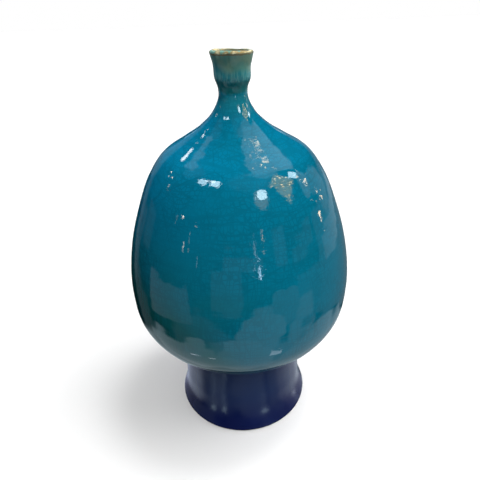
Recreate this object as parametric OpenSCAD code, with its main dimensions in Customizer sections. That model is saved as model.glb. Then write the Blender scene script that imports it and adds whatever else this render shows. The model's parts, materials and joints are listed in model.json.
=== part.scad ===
// Ceramic bud vase, in millimetres, as it is built in a studio: a hollow bulb thrown in one
// piece, a hollow flared foot luted under it, and a narrow neck with a small cup mouth luted
// on top. A turquoise glaze covers the bulb, a thin coat covers the cup, a cobalt glaze
// covers the foot and a liner glaze covers the inside.
// +Z is up. The origin is the centre of the ring that the foot rests on.

/* [Overall] */
// Height of the whole vase
vase_h = 250; // [230:1:275]

/* [Foot] */
// Height of the flared foot, up to its joint with the bulb
foot_h = 57; // [48:1:66]
// Largest diameter of the foot, just above the floor
foot_d = 96; // [86:0.5:106]
// Diameter of the foot at its joint with the bulb
foot_top_d = 82.8; // [76:0.2:85]
// Thickness of the foot's clay wall
foot_wall = 5.5; // [4:0.5:8]
// Height of the bare bevel trimmed round the bottom edge
foot_bevel = 1.2; // [0.8:0.1:2]

/* [Bulb] */
// Largest diameter of the bulb
belly_d = 145.8; // [138:0.2:156]
// Thickness of the bulb's clay wall
bulb_wall = 4.5; // [3.5:0.5:6]
// Thickness of the bulb's clay floor
bulb_floor = 7; // [5:0.5:10]

/* [Neck and cup] */
// Diameter of the waist between the neck and the cup
waist_d = 16.4; // [15.4:0.2:18.6]
// Height of the cup, from the waist to the lip
cup_h = 22; // [18:0.5:26]
// Outer diameter of the cup's straight side
cup_d = 20.8; // [19:0.2:23]
// Outer diameter of the lip
lip_d = 24; // [22.6:0.2:27]
// Thickness of the glazed lip
lip_t = 2.4; // [2:0.1:2.8]
// Diameter of the clear way through the glazed throat
throat_d = 10; // [8.6:0.2:10.4]

/* [Glaze and slip] */
// Thickness of each coat of glaze
glaze_t = 0.6; // [0.4:0.1:0.7]
// Thickness of the slip in each joint
slip_t = 0.8; // [0.5:0.1:1.2]

/* [Hidden] */

// Facets of a full turn, steps between two stations of an outline, and degrees between the
// points of a small arc
$fn = 128;
STEPS = 7;
ARC_STEP = 15;

waist_z = vase_h - cup_h;
bulb_h = waist_z - foot_h;
belly_r = belly_d / 2;
throat_r = throat_d / 2;
throat_top_z = waist_z + 0.16 * cup_h;
lip_z = vase_h - lip_t / 2;
bulb_z = foot_h + slip_t;
floor_z = bulb_z + bulb_floor;
neck_z = foot_h + 0.93 * bulb_h;

// Stations of the foot's glazed side, as [radius, height]: it stands almost straight and flares
// towards the floor
foot_flare = (foot_d - foot_top_d) / 2;
foot_line = [
    [foot_d / 2, foot_bevel],
    [foot_top_d / 2 + 0.5 * foot_flare, 0.21 * foot_h],
    [foot_top_d / 2 + 0.25 * foot_flare, 0.47 * foot_h],
    [foot_top_d / 2, foot_h]
];

// The bulb's stations are fractions of the belly's radius and of the bulb's height: a full round
// bottom, a low belly, a long straight side, a tight shoulder and a hollow sweep into the neck
bulb_shape = [
    [0.712, 0.041], [0.855, 0.099], [0.966, 0.181], [0.999, 0.298], [0.957, 0.456],
    [0.848, 0.614], [0.730, 0.731], [0.610, 0.801], [0.444, 0.848], [0.277, 0.895],
    [0.160, 0.947]
];

// The glazed side of the bulb, neck and cup. The cup steps out from the waist, stands straight
// and flares to the lip.
side_line = concat(
    [[foot_top_d / 2, foot_h]],
    [for (s = bulb_shape) [belly_r * s[0], foot_h + bulb_h * s[1]]],
    [
        [waist_d / 2, waist_z],
        [waist_d / 2 + 0.3, waist_z + 0.16 * cup_h],
        [cup_d / 2 - 0.3, waist_z + 0.37 * cup_h],
        [cup_d / 2, waist_z + 0.68 * cup_h],
        [lip_d / 2, lip_z]
    ]
);

// The glazed inside of the cup, from the lip down to the throat
cup_wall = 3;
cup_line = [
    [lip_d / 2 - lip_t, lip_z],
    [cup_d / 2 - cup_wall, waist_z + 0.68 * cup_h],
    [cup_d / 2 - cup_wall, waist_z + 0.42 * cup_h],
    [throat_r, throat_top_z + 1],
    [throat_r, throat_top_z]
];

// Direction of an outline at station i, from its neighbours, the nearer one counting for more
function along(p, i) =
    i == 0 ? (p[1] - p[0]) / norm(p[1] - p[0])
    : i == len(p) - 1 ? (p[i] - p[i - 1]) / norm(p[i] - p[i - 1])
    : let (a = p[i] - p[i - 1], b = p[i + 1] - p[i], la = norm(a), lb = norm(b))
      (a / la * lb + b / lb * la) / (la + lb);

// Point at t of a cubic from p to q that leaves along u and arrives along v
function cubic(p, q, u, v, t) =
    (2 * t^3 - 3 * t^2 + 1) * p + (t^3 - 2 * t^2 + t) * u
    + (3 * t^2 - 2 * t^3) * q + (t^3 - t^2) * v;

// Smooth outline through a list of stations
function smooth(p) = concat(
    [
        for (i = [0 : len(p) - 2], k = [0 : STEPS - 1])
            let (h = norm(p[i + 1] - p[i]))
            cubic(p[i], p[i + 1], h * along(p, i), h * along(p, i + 1), k / STEPS)
    ],
    [p[len(p) - 1]]
);

// An outline moved square to itself by t, to its left: into the clay, for one drawn upwards
function inward(p, t) = [
    for (i = [0 : len(p) - 1])
        let (d = p[min(i + 1, len(p) - 1)] - p[max(i - 1, 0)])
        p[i] + t * [-d[1], d[0]] / norm(d)
];

// The same, but no closer to the axis than r
function hollow(p, t, r) = [for (q = inward(p, t)) [max(q[0], r), q[1]]];

// Radius of an upright outline at height z, and its stretch from height a to height b
function radius_at(p, z) = lookup(z, [for (q = p) [q[1], q[0]]]);
function band(p, a, b) = concat(
    [[radius_at(p, a), a]],
    [for (q = p) if (q[1] > a + 0.05 && q[1] < b - 0.05) q],
    [[radius_at(p, b), b]]
);
function reversed(p) = [for (i = [len(p) - 1 : -1 : 0]) p[i]];

// Closed outline of the wall between two upright outlines, from height a to height b
function wall(outer, inner, a, b) = concat(band(outer, a, b), reversed(band(inner, a, b)));

// Points of an arc about c from angle a to angle b
function arc(c, r, a, b) = [
    for (k = [0 : ceil(abs(b - a) / ARC_STEP)])
        let (t = a + (b - a) * k / ceil(abs(b - a) / ARC_STEP))
        c + r * [cos(t), sin(t)]
];

// The foot: its glaze, its clay and its hollow
foot_skin = smooth(foot_line);
foot_clay = inward(foot_skin, glaze_t);
foot_hollow = inward(foot_clay, foot_wall);

// One line runs up the glazed side, over the lip and down inside the cup, and the clay is
// glaze_t below it all the way
side_skin = smooth(side_line);
lip_arc = arc([lip_d / 2 - lip_t / 2, lip_z], lip_t / 2, ARC_STEP, 180 - ARC_STEP);
cup_skin = concat(lip_arc, smooth(cup_line));
whole_clay = inward(concat(side_skin, cup_skin), glaze_t);
side_clay = [for (i = [0 : len(side_skin) - 1]) whole_clay[i]];
cup_clay = [for (i = [0 : len(cup_skin) - 1]) whole_clay[len(side_skin) + i]];

// The hollow of the bulb and throat, in clay and as glazed
bulb_hollow = hollow(side_clay, bulb_wall, throat_r + glaze_t);
liner_skin = hollow(bulb_hollow, glaze_t, throat_r);

module turned(outline, tint) {
    color(tint) rotate_extrude() polygon(outline);
}

// Hollow foot, bare inside and on the bevelled ring that it rests on
module foot() {
    ring_outer = foot_d / 2 - glaze_t - foot_bevel;
    ring_inner = radius_at(foot_hollow, foot_bevel) + foot_bevel / 2;
    turned(concat(
        [[ring_outer, 0]],
        band(foot_clay, foot_bevel, foot_h),
        reversed(band(foot_hollow, foot_bevel, foot_h)),
        [[ring_inner, 0]]
    ), "#b59f86");
}

// Ring of slip that joins the foot to the underside of the bulb
module foot_slip() {
    outer_r = radius_at(foot_clay, foot_h);
    inner_r = radius_at(foot_hollow, foot_h);
    turned([[inner_r, foot_h], [outer_r, foot_h], [outer_r, bulb_z], [inner_r, bulb_z]], "#c9b79e");
}

// Hollow bulb with a flat underside and floor, open at the shoulder
module bulb() {
    top_z = neck_z - slip_t / 2;
    turned(concat(
        [[0, bulb_z]],
        band(side_clay, bulb_z, top_z),
        reversed(band(bulb_hollow, floor_z, top_z)),
        [[0, floor_z]]
    ), "#b59f86");
}

// Ring of slip that joins the neck to the bulb
module neck_slip() {
    turned(wall(side_clay, bulb_hollow, neck_z - slip_t / 2, neck_z + slip_t / 2), "#c9b79e");
}

// Neck with its straight throat, and the cup mouth
module neck_cup() {
    low_z = neck_z + slip_t / 2;
    turned(concat(
        band(side_clay, low_z, lip_z),
        cup_clay,
        reversed(band(bulb_hollow, low_z, throat_top_z - 0.1))
    ), "#b59f86");
}

// Cobalt coat on the foot, down to the bare bevel
module cobalt_glaze() {
    turned(wall(foot_skin, foot_clay, foot_bevel, foot_h), "#1b1f4f");
}

// Turquoise coat from the joint with the foot up to the waist
module turquoise_glaze() {
    turned(wall(side_skin, side_clay, foot_h, waist_z), "#0a6f86");
}

// Thin coat on the cup, outside, over the lip and inside down to the throat
module cup_glaze() {
    turned(concat(
        band(side_skin, waist_z, lip_z),
        cup_skin,
        reversed(cup_clay),
        reversed(band(side_clay, waist_z, lip_z))
    ), "#4f6f64");
}

// Liner coat on the floor and wall of the bulb and up the throat
module liner_glaze() {
    top_z = throat_top_z - 0.1;
    turned(concat(
        [[0, floor_z]],
        band(bulb_hollow, floor_z, top_z),
        reversed(band(liner_skin, floor_z + glaze_t, top_z)),
        [[0, floor_z + glaze_t]]
    ), "#7f9a8c");
}

foot();
foot_slip();
bulb();
neck_slip();
neck_cup();
cobalt_glaze();
turquoise_glaze();
cup_glaze();
liner_glaze();
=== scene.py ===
import json
import math

import bpy
import numpy as np
from mathutils import Matrix, Vector


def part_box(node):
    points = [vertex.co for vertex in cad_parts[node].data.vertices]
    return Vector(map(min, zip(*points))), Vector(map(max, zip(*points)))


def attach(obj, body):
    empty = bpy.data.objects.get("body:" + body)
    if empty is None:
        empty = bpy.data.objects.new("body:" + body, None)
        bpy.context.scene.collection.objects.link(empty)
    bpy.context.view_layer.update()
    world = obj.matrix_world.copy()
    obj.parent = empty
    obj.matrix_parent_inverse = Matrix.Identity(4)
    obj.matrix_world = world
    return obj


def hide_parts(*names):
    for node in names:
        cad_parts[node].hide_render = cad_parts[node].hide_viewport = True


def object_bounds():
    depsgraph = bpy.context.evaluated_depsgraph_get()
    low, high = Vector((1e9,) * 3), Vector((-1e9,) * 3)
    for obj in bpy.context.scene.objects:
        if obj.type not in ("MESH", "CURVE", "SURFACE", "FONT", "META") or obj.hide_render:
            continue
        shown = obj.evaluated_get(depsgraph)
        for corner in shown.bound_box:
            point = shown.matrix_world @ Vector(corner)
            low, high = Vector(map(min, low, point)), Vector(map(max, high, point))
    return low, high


# Ceramic bud vase. Each layer of clay, slip and glaze is turned again, finer, from the outline of
# its own CAD node, and all layers pass through one field of small handmade irregularities, so
# that they stay nested. Units are metres and +Z is up.

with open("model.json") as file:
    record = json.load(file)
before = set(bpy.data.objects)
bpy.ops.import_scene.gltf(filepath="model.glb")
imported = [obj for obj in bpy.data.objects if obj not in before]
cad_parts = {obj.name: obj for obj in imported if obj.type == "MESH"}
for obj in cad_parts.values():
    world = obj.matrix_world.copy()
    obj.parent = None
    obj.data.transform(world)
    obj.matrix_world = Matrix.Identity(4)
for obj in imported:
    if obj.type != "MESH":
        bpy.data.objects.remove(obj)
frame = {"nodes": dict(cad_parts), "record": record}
cad_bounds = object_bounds()

MM = 0.001
TAU = 2 * math.pi
VASE_H = cad_bounds[1][2]
WAIST_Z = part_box("cup_glaze")[0][2]
BELLY_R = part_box("turquoise_glaze")[1][0]
BLEND = 1.5 * MM                 # over which a skin's relief fades out at its edges
SHARP = math.radians(40)         # the least angle of an edge that isn't shaded smooth


# ------------------------------------------------------------ outlines, from the CAD nodes

def clusters(values, gap=6e-6):
    """Numbers the groups of nearly equal values, and gives each group's mean."""
    order = np.argsort(values)
    label = np.empty(len(values), int)
    label[order] = np.concatenate([[0], np.cumsum(np.diff(values[order]) > gap)])
    return label, np.bincount(label, values) / np.bincount(label)


def outline(node):
    """The closed outline that a CAD node was turned from: [radius, z] in order round it."""
    mesh = frame["nodes"][node].data
    co = np.empty(len(mesh.vertices) * 3)
    mesh.vertices.foreach_get("co", co)
    co = co.reshape(-1, 3)
    ends = np.empty(len(mesh.edges) * 2, int)
    mesh.edges.foreach_get("vertices", ends)
    r_label, r_mean = clusters(np.hypot(co[:, 0], co[:, 1]))
    z_label, z_mean = clusters(co[:, 2])
    ring = list(zip(r_label, z_label))
    links = {}
    for a, b in ends.reshape(-1, 2):
        if ring[a] != ring[b]:
            links.setdefault(ring[a], []).append(ring[b])
            links.setdefault(ring[b], []).append(ring[a])
    # a solid disc on the axis leaves its two rims with one neighbour each: start at one of them
    path = [min(links, key=lambda k: (len(set(links[k])), z_mean[k[1]]))]
    seen = set(path)
    while True:
        ahead = [k for k in links[path[-1]] if k not in seen]
        if not ahead:
            break
        path.append(ahead[0])
        seen.add(ahead[0])
    points = [[r_mean[k[0]], z_mean[k[1]]] for k in path]
    if len(set(links[path[0]])) == 1:
        points = [[0, points[0][1]]] + points + [[0, points[-1][1]]]
    return np.array(points)


def chains(points, corner=0.5):
    """Cuts an outline at its corners, turning by over `corner` radians, into smooth chains."""
    on_axis = points[0][0] == 0
    step = np.diff(points, axis=0, append=points[:1])
    heading = np.arctan2(step[:, 1], step[:, 0])
    turn = np.abs((heading - np.roll(heading, 1) + math.pi) % TAU - math.pi)
    cuts = [i for i in range(len(points)) if turn[i] > corner]
    if on_axis:
        cuts = sorted(set(cuts) | {0, len(points) - 1})
        return [points[a:b + 1] for a, b in zip(cuts[:-1], cuts[1:])]
    ring = np.concatenate([points, points])
    ends = cuts[1:] + [cuts[0] + len(points)]
    return [ring[a:b + 1] for a, b in zip(cuts, ends)]


def resample(chain, step):
    """Points about `step` apart along a smooth curve through a chain, without its last point."""
    gap = np.linalg.norm(np.diff(chain, axis=0), axis=1)
    along = np.concatenate([[0], np.cumsum(gap)])
    count = max(1, round(along[-1] / step))
    s = np.arange(count) / count * along[-1]
    if len(chain) < 4:
        return np.stack([np.interp(s, along, chain[:, k]) for k in (0, 1)], 1)
    slope = np.gradient(chain, along, axis=0)
    i = np.clip(np.searchsorted(along, s, side="right") - 1, 0, len(gap) - 1)
    h = gap[i][:, None]
    t = ((s - along[i]) / gap[i])[:, None]
    return ((2 * t**3 - 3 * t**2 + 1) * chain[i] + (t**3 - 2 * t**2 + t) * h * slope[i]
            + (3 * t**2 - 2 * t**3) * chain[i + 1] + (t**3 - t**2) * h * slope[i + 1])


# ------------------------------------------------------------ the potter's hand

def smoothstep(a, b, x):
    t = np.clip((x - a) / (b - a), 0, 1)
    return t * t * (3 - 2 * t)


def handmade(co):
    """Moves points of the perfectly turned vase to where a hand-thrown one has them."""
    x, y, z = co.T
    r = np.hypot(x, y)
    theta = np.arctan2(y, x)
    t = z / VASE_H
    # the walls are a little out of round, in a way that turns with height
    size = r / BELLY_R
    swell = (0.22 * np.cos(2 * theta + 0.7 + 1.5 * t) + 0.12 * np.cos(3 * theta - 5 * t)) * size
    swell = swell * smoothstep(0, 0.15, t) * MM
    grow = 1 + np.divide(swell, r, out=np.zeros_like(r), where=r > 1e-6)
    # the axis bends to and fro between the foot and the mouth, which both stay in place
    p = t * (1 - t)
    lean = -VASE_H * p * (0.004 + 0.020 * (1 - 2 * t) + 0.0084 * (1 - 6 * p))
    # the cup sits askew, and its lip is drawn up a little and wavers
    cup = smoothstep(WAIST_Z, WAIST_Z + 8 * MM, z)
    lip = smoothstep(VASE_H - 4 * MM, VASE_H, z)
    tilt = -(0.03 * x + 0.055 * y) * cup
    waver = (0.4 + 0.10 * np.sin(3 * theta + 1) + 0.08 * np.sin(7 * theta + 2.4)) * MM * lip
    return np.stack([x * grow + lean, y * grow, z + tilt + waver], 1)


def waves(theta, s, amount, around, length, seed, count=14):
    """A smooth random ripple over a turned surface: `around` is the most waves in a full turn,
    and `length` the shortest wave along the outline."""
    rng = np.random.default_rng(seed)
    total = np.zeros_like(s)
    for _ in range(count):
        m = rng.integers(0, around + 1)
        k = TAU / (length * rng.uniform(1, 3))
        total += np.sin(m * theta + k * s * rng.choice([-1, 1]) + rng.uniform(0, TAU))
    return amount * total / math.sqrt(count / 2)


# ------------------------------------------------------------ turning the pieces

def turned(name, node, segments, fine, coarse, relief=None):
    """A closed mesh turned from a CAD node's outline. The chain that reaches furthest out and up
    is the skin: its rows are `fine` apart, and relief(theta, s, z) raises it, s being the
    distance along it. The other rows are `coarse` apart."""
    points = outline(node)
    parts = chains(points)
    skin = max(range(len(parts)), key=lambda k: (parts[k].sum(1)).max())
    rows, height = [], []
    for k, part in enumerate(parts):
        pts = resample(part, fine if k == skin else coarse)
        rows.append(pts)
        height.append(np.full(len(pts), k == skin))
    rows = np.concatenate(rows)
    is_skin = np.concatenate(height)
    closed = points[0][0] > 0
    if not closed:
        rows = rows[1:]
        is_skin = is_skin[1:]
    area = 0.5 * np.sum(rows[:, 0] * np.roll(rows[:, 1], -1) - np.roll(rows[:, 0], -1) * rows[:, 1])
    if area < 0:
        rows, is_skin = rows[::-1], is_skin[::-1]
    n_rows = len(rows)
    theta = np.arange(segments) / segments * TAU
    ahead = np.roll(rows, -1, axis=0) - np.roll(rows, 1, axis=0)
    normal = np.stack([ahead[:, 1], -ahead[:, 0]], 1)
    normal /= np.linalg.norm(normal, axis=1)[:, None]
    grid_t, grid_i = np.meshgrid(theta, np.arange(n_rows))
    r, z = rows[grid_i, 0], rows[grid_i, 1]
    if relief is not None:
        s = np.concatenate([[0], np.cumsum(np.linalg.norm(np.diff(rows, axis=0), axis=1))])
        s = (s - s[is_skin].min())[grid_i]
        edge = np.minimum(s, s[is_skin[grid_i]].max() - s)
        amount = relief(grid_t, s, z) * smoothstep(0, BLEND, edge) * is_skin[grid_i]
        r = r + amount * normal[grid_i, 0]
        z = z + amount * normal[grid_i, 1]
    co = np.stack([r * np.cos(grid_t), r * np.sin(grid_t), z], 2).reshape(-1, 3)
    faces = []
    for i in range(n_rows if closed else n_rows - 1):
        a, b = i * segments, (i + 1) % n_rows * segments
        faces += [(a + j, a + (j + 1) % segments, b + (j + 1) % segments, b + j)
                  for j in range(segments)]
    if not closed:
        for row, flip in ((0, True), (n_rows - 1, False)):
            centre = len(co)
            co = np.concatenate([co, [[0, 0, rows[row, 1]]]])
            for j in range(segments):
                a, b = row * segments + j, row * segments + (j + 1) % segments
                faces.append((a, centre, b) if flip else (a, b, centre))
    mesh = bpy.data.meshes.new(name)
    mesh.from_pydata(handmade(co).tolist(), [], faces)
    mesh.shade_smooth()
    mesh.set_sharp_from_angle(angle=SHARP)
    piece = bpy.data.objects.new(name, mesh)
    bpy.context.scene.collection.objects.link(piece)
    return piece


# ------------------------------------------------------------ materials

class Graph:
    """Shorthand for a node tree. An input is given by its name, or by its number as i0, i1 and
    so on. It is a number, a colour or another node's output."""

    def __init__(self, tree):
        self.tree = tree

    def add(self, kind, out=0, settings=None, **inputs):
        node = self.tree.nodes.new("ShaderNode" + kind)
        for key, value in (settings or {}).items():
            setattr(node, key, value)
        for key, value in inputs.items():
            socket = node.inputs[int(key[1:]) if key[0] == "i" and key[1:].isdigit() else key]
            if isinstance(value, bpy.types.NodeSocket):
                self.tree.links.new(value, socket)
            elif isinstance(value, tuple) and len(value) == 3 and socket.type == "RGBA":
                socket.default_value = (*value, 1)
            else:
                socket.default_value = value
        return node.outputs[out]

    def math(self, operation, a, b=0.0):
        return self.add("Math", settings={"operation": operation}, i0=a, i1=b)

    def step(self, value, low, high, to_low=0.0, to_high=1.0):
        """Eases from to_low to to_high as a value goes from low to high."""
        settings = {"interpolation_type": "SMOOTHSTEP"}
        return self.add("MapRange", settings=settings, Value=value,
                        **{"From Min": low, "From Max": high, "To Min": to_low, "To Max": to_high})

    def band(self, value, low, high, soft):
        """1 between low and high, easing to 0 over `soft` outside them."""
        return self.math("MULTIPLY", self.step(value, low - soft, low),
                         self.step(value, high + soft, high))

    def mix(self, amount, a, b, blend="MIX"):
        settings = {"data_type": "RGBA", "blend_type": blend}
        return self.add("Mix", out=2, settings=settings, i0=amount, i6=a, i7=b)

    def noise(self, where, scale, detail=3.0, rough=0.5, out=0):
        return self.add("TexNoise", out=out, Vector=where, Scale=scale, Detail=detail,
                        Roughness=rough)

    def stretch(self, where, x, y, z):
        return self.add("VectorMath", settings={"operation": "MULTIPLY"}, i0=where, i1=(x, y, z))

    def warp(self, where, scale, reach):
        """Shifts a place by a soft random amount of up to about `reach` metres."""
        shift = self.add("VectorMath", settings={"operation": "SUBTRACT"},
                         i0=self.noise(where, scale, 2.0, out=1), i1=(0.5, 0.5, 0.5))
        shift = self.add("VectorMath", settings={"operation": "SCALE"}, i0=shift, Scale=2 * reach)
        return self.add("VectorMath", i0=where, i1=shift)

    def cracks(self, where, cell, width):
        """Thin lines round cells of about `cell` metres: 1 on a line, 0 off it."""
        edge = self.add("TexVoronoi", settings={"feature": "DISTANCE_TO_EDGE"},
                        Vector=where, Scale=1 / cell)
        return self.step(edge, 0.25 * width / cell, width / cell, 1, 0)

    def specks(self, where, cell, size, share):
        """Round specks: one in some of the cells, `share` of them, `size` metres across."""
        spot = self.tree.nodes.new("ShaderNodeTexVoronoi")
        self.tree.links.new(where, spot.inputs["Vector"])
        spot.inputs["Scale"].default_value = 1 / cell
        near = self.step(spot.outputs["Distance"], 0.25 * size / cell, 0.5 * size / cell, 1, 0)
        chosen = self.math("LESS_THAN", self.add("SeparateColor", i0=spot.outputs["Color"]), share)
        return self.math("MULTIPLY", near, chosen)


def new_material(name):
    """A material with its graph, the place on the object, and that place's x and z."""
    mat = bpy.data.materials.new(name)
    mat.use_nodes = True
    mat.node_tree.nodes.clear()
    g = Graph(mat.node_tree)
    place = g.add("TexCoord", out=3)
    split = mat.node_tree.nodes.new("ShaderNodeSeparateXYZ")
    mat.node_tree.links.new(place, split.inputs[0])
    return mat, g, place, split.outputs[0], split.outputs[2]


def finish_material(mat, g, colour, rough, height, relief, specular=0.5):
    """Joins colour, roughness and bump height (in units of `relief` metres) to the shader."""
    bump = g.add("Bump", Height=height, Distance=relief, Strength=1.0)
    inputs = {"Base Color": colour, "Roughness": rough, "Normal": bump,
              "Specular IOR Level": specular}
    shader = g.add("BsdfPrincipled", **inputs)
    end = mat.node_tree.nodes.new("ShaderNodeOutputMaterial")
    mat.node_tree.links.new(shader, end.inputs["Surface"])
    return mat


def turquoise():
    """Glossy copper glaze: deep turquoise, bluer on the shoulders and greener low down on one
    side, with a web of fine crazing and a few mineral specks near the bottom."""
    mat, g, place, x, z = new_material("turquoise_glaze")
    cloud = g.noise(place, 14, 3)
    patch = g.noise(g.warp(place, 20, 0.01), 32, 3)
    drift = g.math("ADD", g.math("MULTIPLY", x, 6.0), g.math("MULTIPLY", cloud, 0.9))
    low = g.math("MULTIPLY", g.step(z, 0.175, 0.115), g.step(drift, 0.55, 0.05))
    colour = g.mix(g.step(z, 0.12, 0.21), (0.0012, 0.168, 0.263), (0.0008, 0.180, 0.300))
    colour = g.mix(g.step(cloud, 0.35, 0.65, 0, 0.5), colour, (0.0012, 0.152, 0.240))
    colour = g.mix(g.step(patch, 0.45, 0.65, 0, 0.35), colour, (0.0010, 0.138, 0.212))
    colour = g.mix(g.math("MULTIPLY", low, 0.95), colour, (0.006, 0.090, 0.066))
    colour = g.mix(g.step(z, 0.214, 0.226, 0, 0.7), colour, (0.014, 0.205, 0.245))
    # crazing: wide curved cracks, and a finer web between them that comes and goes
    bent = g.warp(place, 35, 0.004)
    comes = g.step(g.noise(place, 22, 1), 0.42, 0.62)
    web = g.math("MULTIPLY", g.cracks(bent, 0.008, 0.00026), comes)
    goes = g.step(g.noise(place, 11, 1), 0.38, 0.6, 0.15, 0.9)
    arcs = g.math("MULTIPLY", g.cracks(g.warp(place, 15, 0.016), 0.027, 0.0003), goes)
    craze = g.math("MAXIMUM", g.math("MULTIPLY", web, 0.55), arcs)
    colour = g.mix(g.math("MULTIPLY", craze, 0.18), colour, (0.001, 0.05, 0.07))
    # hair-fine crazing, mostly upright or level
    upright = g.cracks(g.stretch(bent, 1, 1, 0.09), 0.0022, 0.00028)
    level = g.cracks(g.stretch(bent, 0.15, 0.15, 1.2), 0.0028, 0.00032)
    fine = g.math("MULTIPLY", g.math("MAXIMUM", upright, level),
                  g.step(g.noise(place, 28, 2), 0.3, 0.6, 0.25, 1.0))
    colour = g.mix(g.math("MULTIPLY", fine, 0.28), colour, (0.001, 0.06, 0.09))
    # streaks where the glaze ran
    runs = g.noise(g.stretch(bent, 640, 640, 22), 1, 2)
    ran = g.math("MULTIPLY", g.step(runs, 0.40, 0.62), g.step(g.noise(place, 25, 1), 0.4, 0.6))
    colour = g.mix(g.math("MULTIPLY", ran, 0.20), colour, (0.004, 0.17, 0.25))
    speck = g.math("MULTIPLY", g.specks(place, 0.017, 0.0022, 0.22), g.step(z, 0.125, 0.10))
    colour = g.mix(g.math("MULTIPLY", speck, 0.8), colour, (0.03, 0.06, 0.035))
    rough = g.step(g.noise(place, 60, 2), 0.3, 0.7, 0.02, 0.05)
    height = g.math("ADD", g.math("MULTIPLY", g.noise(place, 330, 1), 0.5), g.noise(place, 80, 1))
    height = g.math("SUBTRACT", height, g.math("MULTIPLY", craze, 0.35))
    height = g.math("SUBTRACT", height, g.math("MULTIPLY", speck, 1.5))
    height = g.math("ADD", height, g.math("MULTIPLY", ran, 0.12))
    height = g.math("SUBTRACT", height, g.math("MULTIPLY", fine, 0.12))
    return finish_material(mat, g, colour, rough, height, 0.00003)


def cobalt():
    """Satin cobalt glaze: navy, lighter and a little purple towards the top as painted sheen,
    and in random patches where the glaze is thinner.
    """
    mat, g, place, _, z = new_material("cobalt_glaze")
    cloud = g.noise(place, 30, 4)
    colour = g.mix(g.step(cloud, 0.3, 0.7), (0.0028, 0.0052, 0.048), (0.0042, 0.0080, 0.062))
    # painted sheen: lighter and more purple from 6 to 35 mm up, plus random patches of thinner glaze
    painted_sheen_and_thinner_glaze = g.math("ADD", g.step(z, 0.006, 0.035), g.math("MULTIPLY", g.noise(place, 55, 3), 0.3))
    colour = g.mix(g.math("MULTIPLY", painted_sheen_and_thinner_glaze, 0.7), colour, (0.007, 0.022, 0.088))
    edge = g.math("ADD", z, g.math("MULTIPLY", g.noise(place, 120, 2), 0.0012))
    colour = g.mix(g.step(edge, 0.0026, 0.0012), colour, (0.02, 0.014, 0.02))
    speck = g.specks(place, 0.006, 0.0007, 0.3)
    colour = g.mix(g.math("MULTIPLY", speck, 0.5), colour, (0.002, 0.003, 0.01))
    rough = g.step(g.noise(place, 70, 3), 0.3, 0.7, 0.19, 0.25)
    height = g.math("ADD", g.noise(place, 260, 2), g.math("MULTIPLY", g.noise(place, 90, 1), 1.2))
    return finish_material(mat, g, colour, rough, height, 0.00003, 0.2)


def cup_glaze():
    """The glaze thins on the cup: grey green over the clay, turquoise in the waist and in
    streaks over the step, with painted shade in the recess under it, and broken to tan along
    the lip, mottled there with a pale cyan green that is painted highlight."""
    mat, g, place, x, z = new_material("cup_glaze")
    up = g.math("DIVIDE", g.math("SUBTRACT", z, WAIST_Z), VASE_H - WAIST_Z)
    cloud = g.noise(g.stretch(place, 1, 1, 0.6), 160, 3)
    level = g.math("ADD", up, g.math("MULTIPLY", g.math("SUBTRACT", cloud, 0.5), 0.2))
    wall = g.mix(g.step(cloud, 0.35, 0.65), (0.057, 0.175, 0.150), (0.117, 0.212, 0.160))
    side = g.step(g.math("ADD", g.math("MULTIPLY", x, 70), g.math("MULTIPLY", up, 2.0)), 0.6, 1.2)
    wall = g.mix(side, (0.016, 0.140, 0.165), wall)
    runs = g.step(g.noise(g.stretch(place, 1100, 1100, 120), 1, 2), 0.42, 0.6)
    streaks = g.mix(runs, (0.018, 0.160, 0.190), (0.055, 0.215, 0.225))
    # painted shade: the recess under the step is given a darker teal
    painted_recess_shade = (0.004, 0.105, 0.115)
    colour = g.mix(g.step(level, 0.03, 0.10), (0.003, 0.135, 0.190), painted_recess_shade)
    colour = g.mix(g.step(level, 0.29, 0.37), colour, streaks)
    colour = g.mix(g.step(level, 0.48, 0.62), colour, wall)
    ragged = g.math("MULTIPLY", g.math("SUBTRACT", g.noise(place, 420, 3), 0.5), 0.0016)
    rim = g.math("ADD", z, ragged)
    # the lip: tan and pale yellow breaks in the glaze, mottled with a pale cyan green that is painted
    # highlight
    mottle = g.noise(place, 260, 2)
    lip_break_and_painted_highlight = g.mix(g.step(mottle, 0.38, 0.48), (0.18, 0.37, 0.29), (0.36, 0.26, 0.11))
    lip_break_and_painted_highlight = g.mix(g.step(mottle, 0.52, 0.60), lip_break_and_painted_highlight, (0.66, 0.58, 0.33))
    colour = g.mix(g.step(rim, VASE_H - 0.0006, VASE_H - 0.0001, 0, 0.9), colour, lip_break_and_painted_highlight)
    brown = g.band(rim, VASE_H - 0.0011, VASE_H - 0.0006, 0.0003)
    colour = g.mix(g.math("MULTIPLY", brown, 0.7), colour, (0.14, 0.09, 0.035))
    rough = g.step(cloud, 0.3, 0.7, 0.06, 0.14)
    height = g.math("ADD", g.noise(place, 600, 2), g.math("MULTIPLY", runs, 0.3))
    return finish_material(mat, g, colour, rough, height, 0.00004)


def liner():
    """The same turquoise inside, thinner and darker, mottled near the mouth with tan and with
    a pale cyan that is painted reflection.
    """
    mat, g, place, _, z = new_material("liner_glaze")
    cloud = g.noise(place, 45, 3)
    colour = g.mix(g.step(cloud, 0.3, 0.7), (0.010, 0.10, 0.12), (0.02, 0.13, 0.13))
    craze = g.cracks(g.warp(place, 35, 0.004), 0.008, 0.0003)
    colour = g.mix(g.math("MULTIPLY", craze, 0.4), colour, (0.005, 0.04, 0.05))
    mottle = g.noise(place, 240, 2)
    # near the mouth: tan mottles, and a pale cyan that is painted reflection
    pale = g.mix(g.step(mottle, 0.45, 0.58), (0.22, 0.48, 0.46), (0.55, 0.46, 0.20))
    colour = g.mix(g.step(z, VASE_H - 0.009, VASE_H - 0.004), colour, pale)
    rough = g.step(cloud, 0.3, 0.7, 0.10, 0.2)
    return finish_material(mat, g, colour, rough, g.noise(place, 300, 2), 0.00004)


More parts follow.
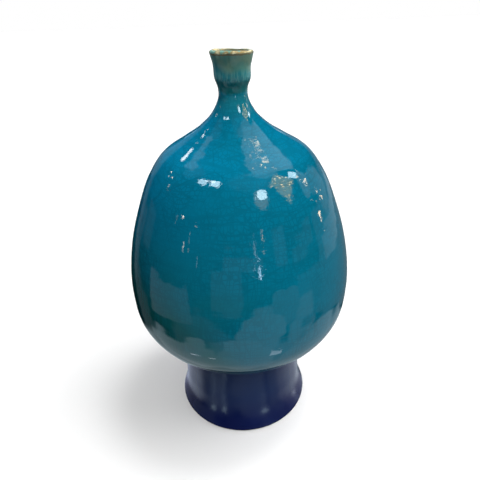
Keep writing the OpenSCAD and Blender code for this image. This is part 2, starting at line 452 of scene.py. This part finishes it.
def clay():
    """Bare buff stoneware: gritty and dry, with iron specks."""
    mat, g, place, _, _ = new_material("bare_clay")
    grit = g.noise(place, 900, 4, 0.7)
    colour = g.mix(g.step(g.noise(place, 60, 3), 0.3, 0.7), (0.30, 0.215, 0.14), (0.40, 0.30, 0.20))
    colour = g.mix(g.step(grit, 0.55, 0.75, 0, 0.5), colour, (0.18, 0.12, 0.08))
    iron = g.specks(place, 0.003, 0.0006, 0.35)
    colour = g.mix(g.math("MULTIPLY", iron, 0.85), colour, (0.04, 0.022, 0.014))
    rough = g.step(grit, 0.3, 0.7, 0.75, 0.95)
    return finish_material(mat, g, colour, rough, grit, 0.00012)


def slip():
    """Dried joining slip: darker and smoother than the clay."""
    mat, g, place, _, _ = new_material("joint_slip")
    colour = g.mix(g.noise(place, 200, 3), (0.20, 0.14, 0.095), (0.28, 0.20, 0.14))
    rough = g.step(g.noise(place, 150, 2), 0.3, 0.7, 0.6, 0.8)
    return finish_material(mat, g, colour, rough, g.noise(place, 500, 3), 0.00008)


MATERIALS = {
    "turquoise_glaze": turquoise(),
    "cobalt_glaze": cobalt(),
    "cup_glaze": cup_glaze(),
    "liner_glaze": liner(),
    "bare_clay": clay(),
    "joint_slip": slip(),
}


# ------------------------------------------------------------ the pieces

def thrown(theta, s, z):
    """The bulb's surface: slow dents, and faint rings that climb a little."""
    dents = waves(theta, s, 0.035 * MM, 7, 45 * MM, 3)
    rings = 0.014 * MM * np.sin(TAU * s / (7 * MM) + theta + 1.2 * np.sin(2 * theta))
    return dents + rings


def cup_ripple(theta, s, z):
    """Soft fluting round the step of the cup, 9 mm over its waist, and a slightly uneven wall."""
    step = np.exp(-((z - WAIST_Z - 9 * MM) / (4 * MM))**2)
    flutes = 0.05 * MM * np.sin(23 * theta + 2 * np.sin(3 * theta)) * step
    return flutes + waves(theta, s, 0.05 * MM, 5, 9 * MM, 5)


def foot_ripple(theta, s, z):
    """Slow dents in the foot's wall."""
    return waves(theta, s, 0.04 * MM, 6, 24 * MM, 8)


TURNING = {                      # segments, gap between rows on the skin and elsewhere, relief
    "foot": (160, 2 * MM, 2.5 * MM, None),
    "foot_slip": (160, 0.8 * MM, 2 * MM, None),
    "bulb": (160, 2.5 * MM, 2.5 * MM, None),
    "neck_slip": (96, 0.6 * MM, 0.8 * MM, None),
    "neck_cup": (128, 0.5 * MM, 0.7 * MM, None),
    "cobalt_glaze": (224, 0.7 * MM, 2 * MM, foot_ripple),
    "turquoise_glaze": (288, 0.9 * MM, 3 * MM, thrown),
    "cup_glaze": (288, 0.35 * MM, 1.2 * MM, cup_ripple),
    "liner_glaze": (160, 2.5 * MM, 2.5 * MM, None),
}

slots = {part["node"]: part["material_slot"] for part in frame["record"]["subparts"]}
pieces = []
for node, (segments, fine, coarse, relief) in TURNING.items():
    piece = turned("turned_" + node, node, segments, fine, coarse, relief)
    piece.data.materials.append(MATERIALS[slots[node]])
    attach(piece, "root")
    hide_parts(node)
    pieces.append(piece)


# ------------------------------------------------------------ studio

def link(name, data):
    obj = bpy.data.objects.new(name, data)
    bpy.context.scene.collection.objects.link(obj)
    return obj


def add_camera():
    """A phone held close and above: 30 degrees down, and rolled by 2 degrees."""
    data = bpy.data.cameras.new("camera")
    data.sensor_width = 36
    data.lens = 32.5
    data.clip_start = 0.01
    back, up = 1.0026 * VASE_H, 1.1135 * VASE_H
    turn = Matrix.Rotation(math.radians(-0.26), 4, "Z")
    pitch = Matrix.Rotation(math.radians(90 - 30.12), 4, "X")
    roll = Matrix.Rotation(math.radians(-2.02), 4, "Z")
    camera = link("camera", data)
    camera.matrix_world = Matrix.Translation((0, -back, up)) @ turn @ pitch @ roll
    bpy.context.scene.camera = camera


def add_floor():
    """A plain white floor. It isn't mirrored in the glaze and throws no light on it."""
    mesh = bpy.data.meshes.new("floor")
    reach = 4.0
    corners = [(-reach, -reach, 0), (reach, -reach, 0), (reach, reach, 0), (-reach, reach, 0)]
    mesh.from_pydata(corners, [], [(0, 1, 2, 3)])
    floor = link("floor", mesh)
    mat, g, place, _, _ = new_material("floor")
    tone = g.step(g.noise(place, 3, 2), 0.3, 0.7)
    colour = g.mix(tone, (0.90, 0.90, 0.90), (0.91, 0.91, 0.91))
    mesh.materials.append(finish_material(mat, g, colour, 0.9, tone, 0.0001))
    floor.visible_glossy = False
    floor.visible_diffuse = False
    return floor


def towards(azimuth, elevation):
    """A direction: azimuth 0 is towards the camera and 90 is to its right."""
    a, e = math.radians(azimuth), math.radians(elevation)
    return Vector((math.sin(a) * math.cos(e), -math.cos(a) * math.cos(e), math.sin(e)))


def add_sun(name, azimuth, elevation, strength, spread, lit, tint=(1, 1, 1), shadow=True):
    """Soft light from one side that shines only on the collection `lit`, and isn't mirrored."""
    data = bpy.data.lights.new(name, "SUN")
    data.energy = math.pi * strength
    data.angle = math.radians(spread)
    data.use_shadow = shadow
    data.color = tint
    sun = link(name, data)
    sun.rotation_euler = (-towards(azimuth, elevation)).to_track_quat("-Z", "Y").to_euler()
    sun.visible_glossy = False
    sun.light_linking.receiver_collection = lit


def add_lamp(name, azimuth, elevation, width, height, radiance, tint=(1, 1, 1), spin=0,
             distance=3.0, aim=(0, 0, 0.18), lit=None, shape="RECTANGLE"):
    """A softbox seen from the place `aim`, which only shows in the gloss, of the collection `lit`
    if that is given. Its width and height are angles in degrees."""
    data = bpy.data.lights.new(name, "AREA")
    data.shape = shape
    data.size = 2 * distance * math.tan(math.radians(width / 2))
    data.size_y = 2 * distance * math.tan(math.radians(height / 2))
    data.energy = 4 * radiance * data.size * data.size_y
    data.color = tint
    data.use_shadow = False
    lamp = link(name, data)
    turn = (-towards(azimuth, elevation)).to_track_quat("-Z", "Y").to_matrix().to_4x4()
    place = Matrix.Translation(Vector(aim) + distance * towards(azimuth, elevation))
    lamp.matrix_world = place @ turn @ Matrix.Rotation(math.radians(spin), 4, "Z")
    lamp.visible_camera = False
    lamp.visible_diffuse = False
    lamp.light_linking.receiver_collection = lit


# The room that the glazes mirror: pale patches and panes, and areas of small warm dots
PATCHES = [             # azimuth, elevation, radius and softness in degrees, then brightness
    (0, -90, 44, 4, 0.35),
    (0, -66, 22, 4, 0.55),
    (-48, -63, 18, 4, 0.58),
    (-118, -36, 8, 5, 0.07),
    (-95, -60, 18, 4, 0.55),
    (95, -60, 20, 5, 0.47),
    (140, -60, 20, 4, 0.37),
    (20, -40, 17, 4, 0.47),
    (66, -38, 11, 5, 0.37),
    (-45, -45, 20, 6, 0.12),
    (-138, -14, 8, 6, 0.10),
    (118, 9, 11, 4, 0.33),
    (103, 26, 5, 4, 0.60),
    (33, 64, 14, 12, 0.09),
    (80, 66, 8, 6, 0.60),
    (43, -22, 7, 3, 0.24),
    (-100, 52, 8, 5, 0.10),
    (-150, 4, 9, 4, 0.15),
]
PANES = [               # azimuth, elevation, width, height, spin, brightness
    (118, 60, 20, 38, 14, 0.95),
    (-125, 50, 7, 12, -35, 0.60),
    (-74, -23, 42, 16, 6, 0.24),
    (-112, -6, 14, 10, 0, 0.06),
    (-14, -10, 26, 20, 0, 0.13),
    (2, 3, 40, 4, 0, 0.16),
    (42, 5, 11, 10, 0, 0.14),
    (68, 0, 28, 6, 0, 0.12),
    (78, -22, 44, 22, 0, 0.11),
    (123, -12, 52, 8, 0, 0.42),
    (128, -19, 78, 38, 0, 0.14),
]
GLITTER = [             # azimuth, elevation, width, height, spin, gap between dots, share lit, warmth
    (73, 39, 22, 26, 20, 0.055, 0.75, 1.1),
    (118, 68, 5, 20, 0, 0.035, 0.45, 1.0),
    (108, 8, 20, 24, 0, 0.065, 0.30, 0.8),
    (100, 25, 8, 22, 0, 0.050, 0.50, 0.6),
    (-108, 23, 16, 14, 0, 0.08, 0.40, 0.6),
    (-70, 4, 44, 30, 0, 0.09, 0.14, 0.4),
]
DOT_SIZE = 0.65         # of a glitter dot, as a share of the gap
DOT_LEVEL = 24          # its brightness


def add_world():
    """White behind the object. What the glazes mirror is a dim room over a grey table, with
    a gilded lattice and glitter in it."""
    world = bpy.data.worlds.new("world")
    bpy.context.scene.world = world
    world.use_nodes = True
    world.node_tree.nodes.clear()
    g = Graph(world.node_tree)
    way = g.add("TexCoord")
    bent = g.warp(way, 2.5, 0.07)

    def along(direction):
        return g.add("VectorMath", out=1, settings={"operation": "DOT_PRODUCT"}, i0=bent,
                     i1=tuple(direction))

    def patch(azimuth, elevation, radius, soft, level):
        """A round pale patch of the room: `radius` and `soft` are in degrees."""
        outer = math.cos(math.radians(radius + soft))
        inner = math.cos(math.radians(radius))
        return g.step(along(towards(azimuth, elevation)), outer, inner, 0, level)

    def pane(azimuth, elevation, width, height, spin, level):
        """A rectangular patch: `width` and `height` are in degrees."""
        middle = towards(azimuth, elevation)
        across = towards(azimuth + 90, 0)
        turn = Matrix.Rotation(math.radians(spin), 3, middle)
        sides = (turn @ across, width), (turn @ middle.cross(across), height)
        inside = g.step(along(middle), 0, 0.1, 0, level)
        for side, size in sides:
            half = math.sin(math.radians(size / 2))
            inside = g.math("MULTIPLY", inside, g.band(along(side), -half, half, 0.02))
        return inside

    # the room is nowhere quite black, and its light is a little blue
    level = g.math("ADD", patch(*PATCHES[0]), 0.002)
    for values in PATCHES[1:]:
        level = g.math("MAXIMUM", level, patch(*values))
    for values in PANES:
        level = g.math("MAXIMUM", level, pane(*values))
    gloss = g.add("CombineColor", i0=level, i1=g.math("MULTIPLY", level, 1.25),
                  i2=g.math("MULTIPLY", level, 1.38))
    lattice = g.mix(pane(73, 40, 20, 25, 20, 1.0), (0, 0, 0), (2.3, 1.6, 0.1))
    gloss = g.add("VectorMath", i0=gloss, i1=lattice)
    for azimuth, elevation, width, height, spin, gap, share, warm in GLITTER:
        dots = g.math("MULTIPLY", g.specks(way, gap, DOT_SIZE * gap, share),
                      pane(azimuth, elevation, width, height, spin, DOT_LEVEL))
        dots = g.add("CombineColor", i0=dots, i1=g.math("MULTIPLY", dots, 1 - 0.3 * warm),
                     i2=g.math("MULTIPLY", dots, 1 - 0.65 * warm))
        gloss = g.add("VectorMath", i0=gloss, i1=dots)
    seen = world.node_tree.nodes.new("ShaderNodeLightPath")
    dim = g.mix(seen.outputs["Is Glossy Ray"], (0.03, 0.03, 0.03), gloss)
    colour = g.mix(seen.outputs["Is Camera Ray"], dim, (1.0, 1.0, 1.0))
    background = g.add("Background", Color=colour, Strength=1.0)
    end = world.node_tree.nodes.new("ShaderNodeOutputWorld")
    world.node_tree.links.new(background, end.inputs["Surface"])


def collection(name, objects):
    """Objects that a light shines on; the collection isn't part of the scene."""
    group = bpy.data.collections.new(name)
    for obj in objects:
        group.objects.link(obj)
    return group


add_camera()
floor = add_floor()
add_world()
by_node = dict(zip(TURNING, pieces))
on_floor = collection("on_floor", [floor])
on_vase = collection("on_vase", pieces)
on_foot = collection("on_foot", [by_node["cobalt_glaze"]])
on_bulb = collection("on_bulb", [by_node["turquoise_glaze"]])
on_cup = collection("on_cup", [by_node["cup_glaze"]])
on_liner = collection("on_liner", [by_node["liner_glaze"]])

# the floor has its own light, partly without shadow, so that it stays almost white
add_sun("floor_key", 90, 49, 0.54, 46, on_floor)
add_sun("floor_high", 115, 75, 0.28, 16, on_floor)
add_sun("floor_soft", 0, 90, 0.46, 150, on_floor)
add_sun("floor_fill", 0, 90, 0.26, 10, on_floor, shadow=False)

# the light that brings out the glazes' own colours
add_sun("side", 115, 55, 0.35, 45, on_vase)
add_sun("front", 25, 50, 1.00, 40, on_vase)
add_sun("back", -170, 35, 1.6, 50, on_vase, (0.85, 0.92, 1.1))
add_sun("left", -95, 10, 0.10, 60, on_vase, (0.5, 0.8, 1.4))
add_sun("cup_left", -85, 5, 0.30, 40, on_cup)
add_sun("cup_right", 95, 20, 0.55, 40, on_cup, (1.15, 1.0, 0.9))
add_sun("mouth", 10, 30, 1.5, 20, on_liner, shadow=False)

blue = (0.9, 1.0, 1.15)
cyan = (0.7, 1.0, 1.3)
gold = (1.3, 1.0, 0.6)
sky = (0.75, 1.0, 1.1)
violet = (0.8, 0.85, 1.2)
shoulder_left = (-0.025, -0.021, 0.202)
under_bulb = (0, 0, 0.02)

# windows, lamps and the pale wall behind, mirrored in every glaze
add_lamp("panel_a", -45, 57, 9, 9, 11, sky, spin=10)
add_lamp("panel_b", -66, 52, 9, 8, 9, sky, spin=10)
add_lamp("panel_c", -56, 57.5, 10, 3, 6, spin=20)
add_lamp("lamp_front", 35, 40, 12, 8, 9, sky, spin=-12, shape="ELLIPSE")
add_lamp("lamp_halo", 32, 37, 17, 13, 0.8, gold, spin=-12, distance=3.1, shape="ELLIPSE")
add_lamp("lamp_right", 97, 36, 9, 10, 9, sky, spin=20)
add_lamp("lamp_back_left", -136.5, 37, 4, 3.5, 8, distance=0.30, aim=shoulder_left)
add_lamp("lamp_slot", 127, 62, 1.6, 6, 6, gold, spin=-6)
add_lamp("behind", 180, 9, 40, 10, 0.9, (0.85, 1.0, 1.1))

# thin bright things across the room
WIRES = {               # azimuth, elevation, width, height, radiance, tint
    "wire_a": (15, 8, 0.8, 4, 4, blue),
    "wire_b": (18, 0, 2.0, 5, 9, cyan),
    "wire_c": (13, 1, 1.4, 3, 3, cyan),
    "wire_d": (24, 10, 0.8, 5, 6, gold),
    "wire_e": (-73, 8, 0.6, 5, 1.8, gold),
    "wire_f": (-54, 5, 0.8, 3, 1.6, gold),
    "wire_g": (-43, 1, 0.6, 4, 1.4, blue),
    "wire_h": (-48, 13, 3, 0.8, 2.5, gold),
}
for name, values in WIRES.items():
    add_lamp(name, *values)

# the sheen on the sides of the foot, and small spots on its front
add_lamp("foot_left", -122, -52, 50, 18, 0.40, violet, lit=on_foot)
add_lamp("foot_right", 110, -45, 54, 34, 0.33, (1, 1.0, 1.2), lit=on_foot)
add_lamp("foot_side", -122, -36, 44, 16, 0.17, violet, lit=on_foot)
add_lamp("spot_a", -57, -38.2, 5, 2.6, 11, sky, lit=on_foot, distance=2.9)
add_lamp("spot_b", -36, -38.8, 5, 2.6, 11, sky, lit=on_foot, distance=2.9)
add_lamp("spot_c", 36, -33.5, 8, 3, 13, sky, lit=on_foot, distance=2.9)
add_lamp("spot_d", 103, -35, 6, 6, 3, blue, lit=on_foot, distance=2.9)

# glints low on the bulb, and the pale wall behind that the cup mirrors
add_lamp("glint_a", -50, -35, 9, 2, 2.2, blue, lit=on_bulb, distance=0.27, aim=under_bulb)
add_lamp("glint_b", -32, -37, 6, 2, 2.2, blue, lit=on_bulb, distance=0.27, aim=under_bulb)
add_lamp("glint_c", 33, -32, 10, 6, 1.5, blue, lit=on_bulb, distance=0.28, aim=under_bulb)
add_lamp("cup_back", 180, 5, 150, 60, 0.14, (0.8, 1.1, 1.1), lit=on_cup, distance=3.2)

bpy.context.scene.view_settings.view_transform = "Standard"
